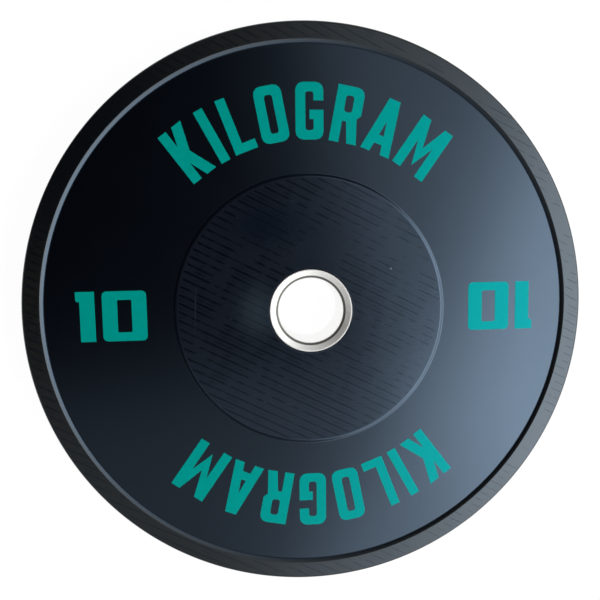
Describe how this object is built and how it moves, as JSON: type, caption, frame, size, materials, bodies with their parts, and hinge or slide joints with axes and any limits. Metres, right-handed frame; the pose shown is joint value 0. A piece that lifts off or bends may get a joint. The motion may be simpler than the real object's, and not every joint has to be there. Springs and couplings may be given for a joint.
{
  "type": "bumper plate",
  "caption": "Round rubber weight plate for a barbell, with raised rims, a steel-lined centre bore and a printed number; it can be dropped.",
  "frame": {"origin": "on the axis of the bore, in the plane of the lower rim face on which the plate lies", "axes": "+Z along the bore axis and out of the upper face; +X is the reading direction of the left-hand number; +Y points to the middle of the upper arc of lettering"},
  "size_m": [0.45, 0.45, 0.05],
  "materials": {
    "black_rubber": "satin moulded rubber, near black with a cool sheen",
    "stainless_steel": "turned stainless steel with fine turning rings",
    "mild_steel": "plain mill-finish mild steel, hidden inside the rubber",
    "teal_print": "opaque satin print ink"
  },
  "bodies": {
    "root": {"rubber_body": "black_rubber", "hub_sleeve": "stainless_steel", "anchor_flange": "mild_steel", "numeral_one_front_a": "teal_print", "numeral_zero_front_a": "teal_print", "numeral_one_front_b": "teal_print", "numeral_zero_front_b": "teal_print", "numeral_one_back_a": "teal_print", "numeral_zero_back_a": "teal_print", "numeral_one_back_b": "teal_print", "numeral_zero_back_b": "teal_print", "letter_k_front_a": "teal_print", "letter_i_front_a": "teal_print", "letter_l_front_a": "teal_print", "letter_o_front_a": "teal_print", "letter_g_front_a": "teal_print", "letter_r_front_a": "teal_print", "letter_a_front_a": "teal_print", "letter_m_front_a": "teal_print", "letter_k_front_b": "teal_print", "letter_i_front_b": "teal_print", "letter_l_front_b": "teal_print", "letter_o_front_b": "teal_print", "letter_g_front_b": "teal_print", "letter_r_front_b": "teal_print", "letter_a_front_b": "teal_print", "letter_m_front_b": "teal_print", "letter_k_back_a": "teal_print", "letter_i_back_a": "teal_print", "letter_l_back_a": "teal_print", "letter_o_back_a": "teal_print", "letter_g_back_a": "teal_print", "letter_r_back_a": "teal_print", "letter_a_back_a": "teal_print", "letter_m_back_a": "teal_print", "letter_k_back_b": "teal_print", "letter_i_back_b": "teal_print", "letter_l_back_b": "teal_print", "letter_o_back_b": "teal_print", "letter_g_back_b": "teal_print", "letter_r_back_b": "teal_print", "letter_a_back_b": "teal_print", "letter_m_back_b": "teal_print"}
  },
  "joints": []
}
